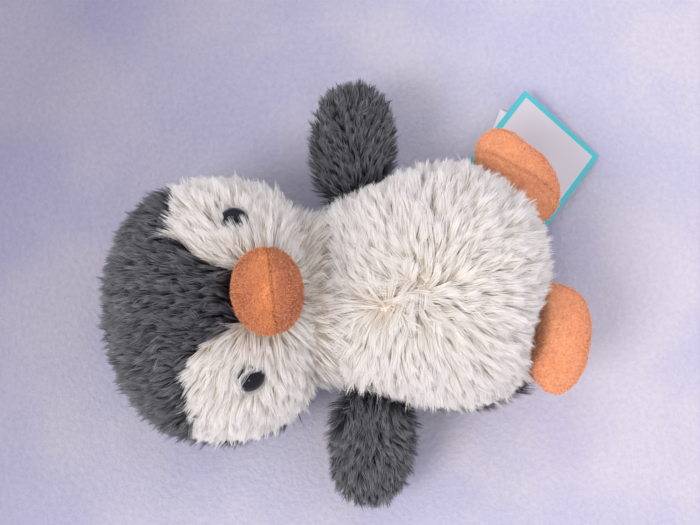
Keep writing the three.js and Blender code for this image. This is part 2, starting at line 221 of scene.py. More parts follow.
def relaxed(mesh, rounds, strength=0.5):
    """Evens a mesh out by moving each point towards its neighbours' middle."""
    edges = np.empty(len(mesh.edges) * 2, np.int32)
    mesh.edges.foreach_get("vertices", edges)
    one, two = edges.reshape(-1, 2).T
    places = vertices_of(mesh)
    count = np.bincount(np.concatenate([one, two]), minlength=len(places))[:, None]
    for _ in range(rounds):
        total = np.zeros_like(places)
        np.add.at(total, one, places[two])
        np.add.at(total, two, places[one])
        places += strength * (total / np.maximum(count, 1) - places)
    set_vertices(mesh, places)


def tree_of(*names):
    places, triangles = node_mesh(*names)
    return BVHTree.FromPolygons(places.tolist(), triangles.tolist())


def nearest_distance(tree, points):
    return np.array([tree.find_nearest(Vector(point))[3] for point in points])


# ---- materials ----


def new_material(name):
    material = bpy.data.materials.new(name)
    material.use_nodes = True
    tree = material.node_tree
    tree.nodes.clear()
    out = tree.nodes.new("ShaderNodeOutputMaterial")
    shader = tree.nodes.new("ShaderNodeBsdfPrincipled")
    tree.links.new(shader.outputs[0], out.inputs["Surface"])
    return material, tree, shader


def colour_ramp(tree, source, stops):
    ramp = tree.nodes.new("ShaderNodeValToRGB")
    elements = ramp.color_ramp.elements
    while len(elements) < len(stops):
        elements.new(0.5)
    for element, (position, colour) in zip(elements, stops):
        element.position = position
        element.color = (*colour, 1)
    tree.links.new(source, ramp.inputs[0])
    return ramp.outputs[0]


def mixed(tree, kind, one, two, amount):
    """A colour mix; one is a socket, two is a socket or a colour, and amount is a socket or a number."""
    mix = tree.nodes.new("ShaderNodeMix")
    mix.data_type = "RGBA"
    mix.blend_type = kind
    factor, first, second = mix.inputs[0], mix.inputs[6], mix.inputs[7]
    for value, socket in ((amount, factor), (one, first), (two, second)):
        if isinstance(value, bpy.types.NodeSocket):
            tree.links.new(value, socket)
        elif isinstance(value, tuple):
            socket.default_value = (*value, 1)
        else:
            socket.default_value = value
    return mix.outputs[2]


def noise(tree, scale, detail=3.0, source=None):
    texture = tree.nodes.new("ShaderNodeTexNoise")
    texture.inputs["Scale"].default_value = scale
    texture.inputs["Detail"].default_value = detail
    if source is None:
        source = tree.nodes.new("ShaderNodeTexCoord").outputs["Object"]
    tree.links.new(source, texture.inputs["Vector"])
    return texture.outputs["Fac"]


def bump(tree, shader, height, strength, distance):
    node = tree.nodes.new("ShaderNodeBump")
    node.inputs["Strength"].default_value = strength
    node.inputs["Distance"].default_value = distance
    tree.links.new(height, node.inputs["Height"])
    tree.links.new(node.outputs[0], shader.inputs["Normal"])


def fur_material(name, root, middle, tip, light, dark, glow=0.0):
    """Colour runs from root to tip, a lock's tone is between dark and light, and glow lets light through."""
    material, tree, shader = new_material(name)
    place = tree.nodes.new("ShaderNodeUVMap")
    place.uv_map = UV_LAYER
    split = tree.nodes.new("ShaderNodeSeparateXYZ")
    tree.links.new(place.outputs[0], split.inputs[0])
    length = colour_ramp(tree, split.outputs["Y"], [(0.0, root), (0.45, middle), (1.0, tip)])
    tone = colour_ramp(tree, split.outputs["X"], [(0.0, dark), (0.5, (1.0, 1.0, 1.0)), (1.0, light)])
    colour = mixed(tree, "MULTIPLY", length, tone, 1.0)
    tree.links.new(colour, shader.inputs["Base Color"])
    shader.inputs["Base Color"].default_value = (*middle, 1)
    shader.inputs["Roughness"].default_value = 0.62
    shader.inputs["Specular IOR Level"].default_value = 0.3
    shader.inputs["Sheen Weight"].default_value = 0.15
    shader.inputs["Sheen Roughness"].default_value = 0.5
    if glow:
        through = tree.nodes.new("ShaderNodeBsdfTranslucent")
        tree.links.new(colour, through.inputs["Color"])
        both = tree.nodes.new("ShaderNodeMixShader")
        both.inputs[0].default_value = glow
        tree.links.new(shader.outputs[0], both.inputs[1])
        tree.links.new(through.outputs[0], both.inputs[2])
        out = next(node for node in tree.nodes if node.type == "OUTPUT_MATERIAL")
        tree.links.new(both.outputs[0], out.inputs["Surface"])
    return material


def skin_material(name, colour):
    material, tree, shader = new_material(name)
    weave = noise(tree, 900.0)
    shade = colour_ramp(tree, weave, [(0.3, tuple(0.7 * c for c in colour)), (0.7, colour)])
    tree.links.new(shade, shader.inputs["Base Color"])
    bump(tree, shader, weave, 0.4, 0.0004)
    shader.inputs["Roughness"].default_value = 0.95
    return material


def velour_material(name, deep, bright, split_at=None):
    """Short pile, mottled in two scales; split_at is where two panels' naps meet, and the colour round it is
    painted light and shade: darker where it meets the fur, a painted highlight just before the seam and a
    lighter, pinker tint past it.
    """
    material, tree, shader = new_material(name)
    broad = noise(tree, 70.0, 4.0)
    fine = noise(tree, 900.0, 5.0)
    colour = colour_ramp(tree, broad, [(0.3, deep), (0.7, bright)])
    if split_at is not None:
        place = tree.nodes.new("ShaderNodeTexCoord").outputs["Object"]
        split = tree.nodes.new("ShaderNodeSeparateXYZ")
        tree.links.new(place, split.inputs[0])
        reach = tree.nodes.new("ShaderNodeMapRange")
        reach.inputs["From Min"].default_value = (split_at - 9) * MM
        reach.inputs["From Max"].default_value = (split_at + 9) * MM
        tree.links.new(split.outputs["X"], reach.inputs[0])
        # painted light and shade across the seam: darker by the fur, a painted highlight just before the
        # seam, lighter and pinker past it
        before = [(0.0, (0.9, 0.8, 0.8)), (0.44, (1.35, 1.35, 1.05))]
        after = [(0.56, (1.02, 0.96, 1.06)), (1.0, (1.06, 1.02, 1.2))]
        painted_seam_light = colour_ramp(tree, reach.outputs[0], before + after)
        colour = mixed(tree, "MULTIPLY", colour, painted_seam_light, 1.0)
    stops = [(0.3, (0.78, 0.7, 0.66)), (0.5, (1.0, 1.0, 1.0)), (0.72, (1.1, 1.1, 1.1))]
    colour = mixed(tree, "MULTIPLY", colour, colour_ramp(tree, fine, stops), 0.8)
    seam = tree.nodes.new("ShaderNodeAttribute")
    seam.attribute_name = "seam"
    colour = mixed(tree, "MULTIPLY", colour, (0.72, 0.62, 0.58), seam.outputs["Fac"])
    tree.links.new(colour, shader.inputs["Base Color"])
    bump(tree, shader, fine, 0.7, 0.0006)
    shader.inputs["Roughness"].default_value = 0.9
    shader.inputs["Specular IOR Level"].default_value = 0.2
    shader.inputs["Sheen Weight"].default_value = 0.3
    shader.inputs["Sheen Roughness"].default_value = 0.4
    shader.inputs["Sheen Tint"].default_value = (1.0, 0.8, 0.65, 1)
    return material


def eye_material():
    material, tree, shader = new_material("glossy_eye")
    stops = [(0.35, (0.003, 0.003, 0.007)), (0.7, (0.006, 0.007, 0.016))]
    shade = colour_ramp(tree, noise(tree, 120.0), stops)
    tree.links.new(shade, shader.inputs["Base Color"])
    shader.inputs["Roughness"].default_value = 0.06
    shader.inputs["Specular IOR Level"].default_value = 0.22
    shader.inputs["Coat Weight"].default_value = 0.1
    shader.inputs["Coat Roughness"].default_value = 0.03
    return material


def plastic_material(name, colour, roughness):
    material, tree, shader = new_material(name)
    grain = noise(tree, 400.0)
    shade = colour_ramp(tree, grain, [(0.3, tuple(0.93 * c for c in colour)), (0.7, colour)])
    tree.links.new(shade, shader.inputs["Base Color"])
    shader.inputs["Roughness"].default_value = roughness
    return material


CREAM = fur_material(
    "cream_fur",
    (0.93, 0.86, 0.77),
    (0.95, 0.92, 0.88),
    (0.97, 0.96, 0.96),
    (1.03, 1.03, 1.03),
    (0.97, 0.95, 0.93),
    glow=0.5,
)
GREY = fur_material(
    "grey_fur",
    (0.012, 0.012, 0.016),
    (0.042, 0.043, 0.051),
    (0.195, 0.20, 0.215),
    (1.7, 1.7, 1.7),
    (0.48, 0.48, 0.53),
)
CREAM_SKIN = skin_material("cream_backing", (0.90, 0.85, 0.78))
GREY_SKIN = skin_material("grey_backing", (0.02, 0.02, 0.024))
BEAK_VELOUR = velour_material("beak_velour", (0.42, 0.130, 0.060), (0.62, 0.250, 0.120), BEAK_SEAM_X)
FOOT_VELOUR = velour_material("foot_velour", (0.82, 0.345, 0.165), (0.92, 0.460, 0.240))
BEAK_FUZZ = fur_material(
    "beak_fuzz",
    (0.36, 0.11, 0.05),
    (0.60, 0.22, 0.10),
    (0.80, 0.38, 0.19),
    (1.25, 1.35, 1.1),
    (0.75, 0.68, 0.72),
)
FOOT_FUZZ = fur_material(
    "foot_fuzz",
    (0.74, 0.285, 0.145),
    (0.90, 0.425, 0.225),
    (1.0, 0.60, 0.39),
    (1.1, 1.12, 1.1),
    (0.85, 0.8, 0.8),
)


# ---- padded skins ----


def padded_skin(name, nodes, body, voxel, inset, rounds):
    """A closed skin round some CAD nodes: remeshed, evened out and drawn in by inset."""
    places, triangles = node_mesh(*nodes)
    skin = add_object(name, mesh_from(name, places, triangles))
    remesh = skin.modifiers.new("remesh", "REMESH")
    remesh.mode = "VOXEL"
    remesh.voxel_size = voxel * MM
    remesh.use_smooth_shade = True
    applied(skin)
    relaxed(skin.data, rounds)
    if inset:
        set_vertices(skin.data, vertices_of(skin.data) - inset * normals_of(skin.data))
        relaxed(skin.data, 2)
    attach(skin, body)
    return skin


def as_sewn(distance, points):
    return distance


def painted(skin, panels, placed=as_sewn):
    """Gives each face of a skin the backing of the panel nearest to it, if placed agrees."""
    skin.data.materials.append(CREAM_SKIN)
    skin.data.materials.append(GREY_SKIN)
    middles = np.empty(len(skin.data.polygons) * 3)
    skin.data.polygons.foreach_get("center", middles)
    middles = middles.reshape(-1, 3) / MM
    distance = np.stack([nearest_distance(tree_of(panel), middles) for panel in panels], axis=1)
    nearest = placed(distance, middles).argmin(axis=1)
    slots = np.array([0 if FLOWS[panel][2] is CREAM else 1 for panel in panels])
    skin.data.polygons.foreach_set("material_index", slots[nearest].astype(np.int32))
    skin.data.update()


def inflated(skin, pressure, most):
    """Swells a skin with a short cloth simulation; no point moves further than most."""
    before = vertices_of(skin.data)
    cloth = skin.modifiers.new("cloth", "CLOTH")
    settings = cloth.settings
    settings.quality = 6
    settings.mass = 0.1
    settings.tension_stiffness = 12
    settings.compression_stiffness = 12
    settings.bending_stiffness = 0.3
    settings.use_pressure = True
    settings.uniform_pressure_force = pressure
    settings.effector_weights.gravity = 0
    cloth.point_cache.frame_start = 1
    cloth.point_cache.frame_end = 20
    scene = bpy.context.scene
    for number in range(1, 21):
        scene.frame_set(number)
    applied(skin)
    scene.frame_set(1)
    move = vertices_of(skin.data) - before
    length = np.linalg.norm(move, axis=1, keepdims=True)
    move *= np.minimum(1, most / np.maximum(length, 1e-9))
    set_vertices(skin.data, before + move)


def subdivided(skin):
    finer = skin.modifiers.new("finer", "SUBSURF")
    finer.levels = 1
    finer.render_levels = 1
    applied(skin)


# ---- fur ----


def scattered(mesh, density, rng):
    """Random points on a mesh, with its normals there, in mm."""
    mesh.calc_loop_triangles()
    corners = np.empty(len(mesh.loop_triangles) * 3, np.int32)
    mesh.loop_triangles.foreach_get("vertices", corners)
    corners = corners.reshape(-1, 3)
    places, normals = vertices_of(mesh), normals_of(mesh)
    a, b, c = places[corners[:, 0]], places[corners[:, 1]], places[corners[:, 2]]
    area = np.linalg.norm(np.cross(b - a, c - a), axis=1) / 2
    chosen = rng.choice(len(area), int(area.sum() * density), p=area / area.sum())
    u, v = rng.random((2, len(chosen)))
    over = u + v > 1
    u[over], v[over] = 1 - u[over], 1 - v[over]
    shares = np.stack([1 - u - v, u, v], axis=1)[:, :, None]
    points = (places[corners[chosen]] * shares).sum(axis=1)
    return points, unit((normals[corners[chosen]] * shares).sum(axis=1))


def bent_paths(points, normals, flow, length, rise, lie):
    """Each strand leaves the skin at angle rise and bends over to lie, both from the skin."""
    start = normals * np.sin(rise)[:, None] + flow * np.cos(rise)[:, None]
    end = normals * np.sin(lie)[:, None] + flow * np.cos(lie)[:, None]
    paths = []
    for s in STRAND_STATIONS:
        paths.append(points + length[:, None] * (start * (s - s * s / 2) + end * s * s / 2))
    return np.stack(paths, axis=1)


def grown(points, normals, flow, spec, rng):
    """Strand paths gathered into locks, and each strand's tone from 0 to 1."""
    count = len(points)
    locks = max(int(count / (FUR_DENSITY * spec["lock"])), 1)
    heads = rng.choice(count, locks, replace=False)
    tree = KDTree(locks)
    for i, head in enumerate(heads):
        tree.insert(Vector(points[head]), i)
    tree.balance()
    owner = np.array([tree.find(Vector(point))[1] for point in points])

    def ways(number, spread):
        rise = np.radians(rng.normal(spec["rise"], 10 * spread, number)).clip(0.3, 1.5)
        lie = np.radians(rng.normal(spec["lie"], 14 * spread, number)).clip(-0.2, 1.2)
        length = spec["length"] * rng.normal(1, 0.13 * spread, number).clip(0.6, 1.35)
        return rise, lie, length

    def jittered(directions, own_normals, amount):
        return tangent(directions + rng.normal(0, amount, directions.shape), own_normals)

    swirl = np.array([noise_vector(Vector(point / SWIRL_SIZE)) for point in points[heads]])
    head_flow = jittered(flow[heads] + SWIRL * swirl, normals[heads], spec["stray"])
    rise, lie, length = ways(locks, 1.0)
    lock_paths = bent_paths(points[heads], normals[heads], head_flow, length, rise, lie)
    own_rise, own_lie, own_length = ways(count, 0.5)
    own_flow = tangent(head_flow[owner] + 0.35 * flow + rng.normal(0, 0.12, flow.shape), normals)
    own = bent_paths(
        points,
        normals,
        own_flow,
        0.55 * length[owner] + 0.45 * own_length,
        0.6 * rise[owner] + 0.4 * own_rise,
        0.7 * lie[owner] + 0.3 * own_lie,
    )
    loyal = rng.uniform(*spec["gather"], count) * np.where(rng.random(count) < LOOSE_SHARE, 0.15, 1.0)
    stations = np.array(STRAND_STATIONS)
    pull = loyal[:, None] * stations[None, :] ** 1.3
    paths = own + pull[:, :, None] * (lock_paths[owner] - own)
    tone = (rng.normal(0.5, 0.2, locks)[owner] + rng.normal(0, 0.1, count)).clip(0, 0.999)
    return paths, tone


def form_of(*nodes):
    """An ellipsoid round some CAD nodes: its centre, its axes as columns and its radii along them."""
    places, _ = node_mesh(*nodes)
    middle = places.mean(axis=0)
    _, axes = np.linalg.eigh(np.cov((places - middle).T))
    local = (places - middle) @ axes
    low, high = local.min(axis=0), local.max(axis=0)
    return middle + axes @ ((low + high) / 2), axes, (high - low) / 2


def kept_off(paths, form, margin):
    """Moves the stations of the strands out of an ellipsoid."""
    centre, axes, radii = form
    local = (paths - centre) @ axes / (radii + margin)
    depth = np.linalg.norm(local, axis=2, keepdims=True)
    pushed = centre + (local / np.maximum(depth, 1e-6) * (radii + margin)) @ axes.T
    return np.where(depth < 1, pushed, paths)


def cut_short(paths, form, margin):
    """Shortens the strands that would run into an ellipsoid or over the top of it."""
    centre, axes, radii = form
    shares = np.linspace(0.1, 1, 10)
    fraction = np.ones(len(paths))
    for share in shares[::-1]:
        place = np.array([[np.interp(share, STRAND_STATIONS, row) for row in np.eye(len(STRAND_STATIONS))]])
        points = np.einsum("ks,nsj->nj", place, paths)
        away = points - centre
        away[:, 2] = np.where(away[:, 2] > 0, 0.35 * away[:, 2], away[:, 2])
        depth = np.linalg.norm(away @ axes / (radii + margin), axis=1)
        fraction = np.where(depth < 1, share, fraction)
    fraction = np.where(fraction < 1, np.maximum(fraction - 0.1, 0.3), 1.0)
    return paths[:, :1] + fraction[:, None, None] * (paths - paths[:, :1])


def kept_clear(paths, eye):
    """Parts the strands over an eye: those in front of it move aside, away from its axis."""
    top, axis, radius = eye
    away = paths - top
    height = away @ axis
    aside = away - height[:, :, None] * axis
    reach = np.linalg.norm(aside, axis=2, keepdims=True)
    moved = paths + aside * (radius / np.maximum(reach, 0.05) - 1)
    return np.where((reach < radius) & (height[:, :, None] > -8), moved, paths)


def strand_template():
    """Faces of one flat tapered strand, with each corner's place across and along."""
    rings = len(STRAND_SHAPE)
    faces, across, along = [], [], []
    for ring in range(rings - 1):
        a = 2 * ring
        low, high = STRAND_STATIONS[ring], STRAND_STATIONS[ring + 1]
        faces += [(a, a + 1, a + 3), (a, a + 3, a + 2)]
        across += [0, 1, 1, 0, 1, 0]
        along += [low, low, high, low, high, high]
    faces.append((2 * rings - 2, 2 * rings - 1, 2 * rings))
    across += [0, 1, 0.5]
    along += [STRAND_STATIONS[rings - 1]] * 2 + [1]
    return np.array(faces), np.array(across), np.array(along)


def fur_object(name, paths, tone, width, material, body, rng, normals):
    """One mesh of thin tapered strands, whose flat sides face more or less outward."""
    count = len(paths)
    rings = len(STRAND_SHAPE)
    corners = 2 * rings + 1
    facing = unit(normals + rng.normal(0, FACING_SPREAD, (count, 3)))
    radius = width / 2 * rng.uniform(0.75, 1.25, count)
    places = np.empty((count, corners, 3))
    for ring, share in enumerate(STRAND_SHAPE):
        forward = unit(paths[:, ring + 1] - paths[:, ring])
        side = unit(np.cross(forward, facing)) * (share * radius)[:, None]
        places[:, 2 * ring] = paths[:, ring] - side
        places[:, 2 * ring + 1] = paths[:, ring] + side
    places[:, -1] = paths[:, -1]
    places[:, :, 2] = np.maximum(places[:, :, 2], FLOOR_CLEARANCE)
    template, across, along = strand_template()
    shift = (np.arange(count) * corners)[:, None, None]
    faces = (template[None] + shift).reshape(-1, 3)
    mesh = mesh_from(name, places.reshape(-1, 3), faces)
    column = np.floor(tone * TONES)[:, None]
    uv = np.empty((count, len(across), 2), np.float32)
    uv[:, :, 0] = (column + 0.04 + 0.92 * across[None, :]) / TONES
    uv[:, :, 1] = 0.01 + 0.98 * along[None, :]
    layer = mesh.uv_layers.new(name=UV_LAYER)
    layer.data.foreach_set("uv", uv.ravel())
    fur = add_object(name, mesh, material)
    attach(fur, body)
    return fur


# ---- which way the pile lies, and where it grows ----


def belly_flow(points, normals):
    start, along = PARTING[0], PARTING[1] - PARTING[0]
    share = ((points - start) @ along / (along @ along)).clip(0, 1)
    away = points - start - share[:, None] * along
    tousled = np.exp(-((np.linalg.norm(away, axis=1, keepdims=True) / TUFT_SIZE) ** 2))
    swirl = np.array([noise_vector(Vector(point / 5.0)) for point in points])
    return tangent((1 - tousled) * unit(away) + 1.4 * tousled * swirl + np.array([0.1, 0, 0]), normals)


def back_flow(points, normals):
    outward = points - np.array([10.0, 0.0, 42.0])
    return tangent(unit(outward) + np.array([0.5, 0, 0]), normals)


def cap_flow(points, normals):
    spread = np.clip((-points[:, :1] - 96.0) / 20.0, 0.0, 1.0)
    return tangent(unit(points - MUZZLE) * 0.45 * spread + np.array([-1.0, 0, 0]), normals)


def face_flow(points, normals):
    return tangent(unit(points - MUZZLE), normals)


def chin_flow(points, normals):
    return tangent(unit(points - MUZZLE) + np.array([0.4, 0, 0]), normals)


def ring_flow(points, normals):
    return tangent(np.tile([1.0, 0.0, 0.0], (len(points), 1)) + 0.1 * normals, normals)


LONG = {"lock": 3.2, "length": 14.0, "rise": 50, "lie": 8, "stray": 0.3, "gather": (0.2, 0.76)}
CAP = {"lock": 2.6, "length": 12.5, "rise": 62, "lie": 32, "stray": 0.36, "gather": (0.3, 0.85)}
BACK = {"lock": 1.8, "length": 12.5, "rise": 54, "lie": 20, "stray": 0.36, "gather": (0.1, 0.5)}
FACE = {"lock": 3.2, "length": 12.0, "rise": 50, "lie": 10, "stray": 0.26, "gather": (0.2, 0.76)}
WING = {"lock": 1.6, "length": 9.5, "rise": 56, "lie": 24, "stray": 0.42, "gather": (0.15, 0.6)}
RING = {**LONG, "length": 12, "rise": 75, "lie": 40}
FLOWS = {
    "belly_panel": (belly_flow, LONG, CREAM),
    "back_panel": (back_flow, BACK, GREY),
    "base_panel": (back_flow, BACK, GREY),
    "crown_gusset": (cap_flow, CAP, GREY),
    "head_back_left": (cap_flow, CAP, GREY),
    "head_back_right": (cap_flow, CAP, GREY),
    "face_left": (face_flow, FACE, CREAM),
    "face_right": (face_flow, FACE, CREAM),
    "chin_panel": (chin_flow, FACE, CREAM),
}


def beak_form():
    """A round form that the fur keeps off, as deep as the beak is wide."""
    low, high = np.array(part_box("beak_upper")) / MM
    other_low, other_high = np.array(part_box("beak_lower")) / MM
    low, high = np.minimum(low, other_low), np.maximum(high, other_high)
    radii = (high - low) / 2
    centre = (low + high) / 2
    radii[2] = radii[1]
    centre[2] = high[2] - radii[2]
    return centre, np.eye(3), radii


def eye_axis(name):
    """The top of the eye's dome and the direction that it faces."""
    places, _ = node_mesh(name)
    head = sum(np.array(corner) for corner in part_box("head_stuffing")) / 2 / MM
    reach = np.linalg.norm(places - head, axis=1)
    order = np.argsort(reach)
    foot = places[order[:8]].mean(axis=0)
    top = places[order[-1]]
    return top, (top - foot) / np.linalg.norm(top - foot)


def cleared_eye(side):
    """The round gap that the fur leaves over an eye; the left one is set towards the crown's side."""
    top, axis = eye_axis(f"eye_{side}")
    clear, shift = EYE_GAPS[side]
    return top + np.array(shift), axis, clear


def panel_fur(skin, panels, body, wanted, placed, shaped, rng):
    """Grows the fur of a form's panels. Each point belongs to the panel nearest to it, if placed agrees."""
    points, normals = scattered(skin.data, FUR_DENSITY, rng)
    keep = wanted(points)
    points, normals = points[keep], normals[keep]
    distance = np.stack([nearest_distance(tree_of(panel), points) for panel in panels], axis=1)
    distance = placed(distance, points)
    nearest = distance.argmin(axis=1)
    for i, panel in enumerate(panels):
        mine = nearest == i
        flow, spec, material = FLOWS[panel]
        own_points, own_normals = points[mine], normals[mine]
        paths, tone = grown(own_points, own_normals, flow(own_points, own_normals), spec, rng)
        paths = shaped(panel, paths)
        parts = math.ceil(len(paths) / MOST_STRANDS)
        for part in range(parts):
            some = slice(part, None, parts)
            fur = fur_object(
                f"fur_{panel}_{part + 1}",
                paths[some],
                tone[some],
                STRAND_WIDTH,
                material,
                body,
                rng,
                own_normals[some],
            )
            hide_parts(panel)


# ---- torso, head, neck and wings ----

rng = np.random.default_rng(SEED)
seed_set(SEED)  # noise_vector is otherwise seeded by the clock


def off_neck(points, radius):
    """Whether points are further than radius from the neck's own axis."""
    return np.hypot(points[:, 1], points[:, 2] - NECK_PIVOT[2]) > radius


def pressed(skin):
    """Draws the belly in over the right foot, where the sewn-on foot pulls it."""
    places = vertices_of(skin.data)
    away = places[:, :2] - PRESSED
    depth = PRESSED_DEPTH * np.exp(-np.sum(away**2, axis=1) / PRESSED_SIZE**2)
    depth *= ((places[:, 2] - 44) / 12).clip(0, 1)
    inward = unit(np.array([[-0.8, 0.6, 0.0]]))
    set_vertices(skin.data, places + depth[:, None] * inward)


def make_torso():
    panels = ["belly_panel", "back_panel", "base_panel"]
    skin = padded_skin("torso_skin", [*panels, "body_stuffing"], "torso", 2.5, SKIN_INSET, 6)
    pressed(skin)
    painted(skin, panels)
    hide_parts("body_stuffing")
    feet = [form_of(f"foot_{side}_sole", f"foot_{side}_upper") for side in ("left", "right")]

    def grows(points):
        return (points[:, 0] > NECK_TORSO[0]) | off_neck(points, NECK_TORSO[1])

    def shaped(panel, paths):
        if panel != "belly_panel":
            root = paths[:, 0]
            near = np.exp(-(((root[:, 0] - SHAGGY[0]) / 16) ** 2) - ((root[:, 1] - SHAGGY[1]) / 14) ** 2)
            paths = root[:, None] + (1 + SHAGGY_EXTRA * near)[:, None, None] * (paths - root[:, None])
        for foot in feet:
            paths = cut_short(paths, foot, 0.8)
        return paths

    panel_fur(skin, panels, "torso", grows, as_sewn, shaped, rng)


def make_head():
    panels = ["crown_gusset", "face_left", "face_right", "chin_panel", "head_back_left", "head_back_right"]
    skin = padded_skin("head_skin", [*panels, "head_stuffing"], "head", 2.5, SKIN_INSET, 6)
    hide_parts("head_stuffing")
    beak = beak_form()
    eyes = [cleared_eye(side) for side in ("left", "right")]

    def grows(points):
        beyond = (points[:, 0] < NECK_HEAD[0]) | off_neck(points, NECK_HEAD[1])
        away = np.linalg.norm((points - beak[0]) / (beak[2] + 0.5), axis=1)
        return beyond & (away > 1)

    def behind_beak(distance, points):
        below_wedge = points[:, 0] > beak[0][0] - 3
        distance[below_wedge, panels.index("crown_gusset")] = np.inf
        overlap = np.interp(points[:, 0], CAP_EDGE_X, (CAP_OVERLAP, WEDGE_OVERLAP))
        for face in ("face_left", "face_right"):
            distance[:, panels.index(face)] -= overlap
        return distance

    painted(skin, panels, behind_beak)

    def shaped(panel, paths):
        for eye in eyes:
            paths = kept_clear(paths, eye)
        return kept_off(paths, beak, 0.4)

    panel_fur(skin, panels, "head", grows, behind_beak, shaped, rng)


def make_neck():
    for name, body in (("neck_stuffing", "neck_core"), ("neck_seam_band", "neck_seam")):
        skin = padded_skin(name + "_skin", [name], body, 2.0, 0.0, 4)
        painted(skin, ["belly_panel", "back_panel"])
        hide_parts(name)
    ring_fur(skin, body)


def ring_fur(band, body):
    """A ring of pile on the seam band, which hides the joint between head and torso."""
    points, normals = scattered(band.data, NECK_RING_DENSITY, rng)
    away = points - NECK_PIVOT
    keep = np.linalg.norm(away, axis=1) > NECK_RING_RADIUS
    points, normals = points[keep], unit(away[keep])
    paths, tone = grown(points, normals, ring_flow(points, normals), RING, rng)
    front = points[:, 2] > NECK_SIDE_Z
    for part, some, material in (("front", front, CREAM), ("back", ~front, GREY)):
        name = f"fur_neck_{part}"
        fur_object(name, paths[some], tone[some], STRAND_WIDTH, material, body, rng, normals[some])


def make_wings():
    for side in ("left", "right"):
        body = f"wing_{side}"
        nodes = [f"{body}_front", f"{body}_back", f"{body}_stuffing"]
        skin = padded_skin(f"{body}_skin", nodes, body, 1.6, 2.4, 4)
        skin.data.materials.append(GREY_SKIN)
        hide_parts(nodes[2])
        points, normals = scattered(skin.data, FUR_DENSITY, rng)
        low, high = (np.array(corner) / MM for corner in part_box(nodes[2]))
        centre = (low + high) / 2
        out = np.array([0.0, 1.0 if side == "left" else -1.0, 0.0])
        flow = tangent(0.5 * unit(points - centre) + out, normals)
        paths, tone = grown(points, normals, flow, WING, rng)
        # painted shade: the left wing comes out darker than the right
        tone = (tone + WING_PAINTED_SHADE[side]).clip(0, 0.999)
        to_front, to_back = (nearest_distance(tree_of(node), points) for node in nodes[:2])
        front = to_front < to_back
        for part, some in (("front", front), ("back", ~front)):
            name = f"fur_{body}_{part}"
            fur = fur_object(name, paths[some], tone[some], STRAND_WIDTH, GREY, body, rng, normals[some])
            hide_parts(f"{body}_{part}")


# ---- beak and feet ----


def dented(skin, closeness, depth):
    """Draws a skin in along its seam, and keeps how near each point is to the seam for its material."""
    places = vertices_of(skin.data)
    set_vertices(skin.data, places - depth * closeness[:, None] * normals_of(skin.data))
    seam = skin.data.attributes.new("seam", "FLOAT", "POINT")
    seam.data.foreach_set("value", closeness.astype(np.float32))


def fuzz(name, skin, material, body, split_at=None):
    """The nap of a velour piece: very short strands all over it, curlier and less even past split_at; just
    before split_at the strands are lighter, a painted highlight.
    """
    points, normals = scattered(skin.data, FUZZ_DENSITY, rng)
    lean = tangent(rng.normal(0, 1, points.shape), normals)
    length = FUZZ_LENGTH * rng.uniform(0.6, 1.3, len(points))
    rise = rng.uniform(0.5, 1.3, len(points))
    paths = bent_paths(points - 0.15 * normals, normals, lean, length, rise, 0.6 * rise)
    tone = rng.normal(0.5, 0.16, len(points))
    tone += 0.35 * np.array([noise_vector(Vector(point / 6.0))[0] for point in points])
    if split_at is not None:
        before = points[:, 0] < split_at
        # painted highlight: the strands just before the seam are lighter
        bright = 0.3 * np.exp(-(((points[:, 0] - split_at + 4) / 7) ** 2))
        curls = np.array([noise_vector(Vector(point / 1.3))[1] for point in points])
        tone += np.where(before, bright, 0.7 * curls + 0.08)
    tone = tone.clip(0, 0.999)
    nap = fur_object(name, paths, tone, FUZZ_WIDTH, material, body, rng, normals)


def make_beak():
    nodes = ["beak_upper", "beak_lower", "beak_stuffing"]
    skin = padded_skin("beak_skin", nodes, "head", 1.2, 0.4, 3)
    inflated(skin, 3.0, 1.0)
    subdivided(skin)
    places = vertices_of(skin.data)
    dented(skin, np.exp(-(((places[:, 0] - BEAK_SEAM_X) / 0.6) ** 2)), 0.8)
    skin.data.materials.append(BEAK_VELOUR)
    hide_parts(*nodes)
    fuzz("beak_nap", skin, BEAK_FUZZ, "head", BEAK_SEAM_X)


def foot_share(places, form):
    """How far along a foot each point is, from -1 at its inner end to 1 at its outer end."""
    centre, axes, radii = form
    outward = math.copysign(1.0, axes[1, 2] * centre[1])
    return outward * ((places - centre) @ axes[:, 2]) / radii[2]


def foot_shaped(skin, form, side):
    """Narrows a foot towards its outer end, draws in its waist and beds its inner side in the fur."""
    centre, axes, radii = form
    depth, waist = FOOT_WAISTS[side]
    places = vertices_of(skin.data)
    share = foot_share(places, form)
    scale = FOOT_INNER - FOOT_TAPERS[side] * np.clip(share, 0, 1) ** 1.5
    scale -= depth * np.exp(-(((share - waist) / 0.28) ** 2))
    spine = centre + ((places - centre) @ axes[:, 2])[:, None] * axes[:, 2]
    places = spine + (places - spine) * scale[:, None]
    inward = unit(centre * (-1, -1, 0))
    share = ((places - centre) @ inward / radii[1]).clip(0, 1)
    set_vertices(skin.data, places + FOOT_BEDDING * share[:, None] * inward)


def make_feet():
    for side in ("left", "right"):
        body = f"foot_{side}"
        nodes = [f"{body}_sole", f"{body}_upper", f"{body}_stuffing"]
        skin = padded_skin(f"{body}_skin", nodes, body, 1.4, 0.4, 3)
        form = form_of(*nodes[:2])
        foot_shaped(skin, form, side)
        inflated(skin, 3.0, 1.0)
        subdivided(skin)
        places = vertices_of(skin.data)
        to_sole, to_upper = (nearest_distance(tree_of(node), places) for node in nodes[:2])
        shift, slant = FOOT_SEAMS[side]
        apart = to_sole - to_upper - shift - slant * foot_share(places, form)
        dented(skin, np.exp(-((apart / 0.7) ** 2)), 0.8)
        skin.data.materials.append(FOOT_VELOUR)
        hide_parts(*nodes)
        fuzz(f"{body}_nap", skin, FOOT_FUZZ, body)


# ---- eyes ----


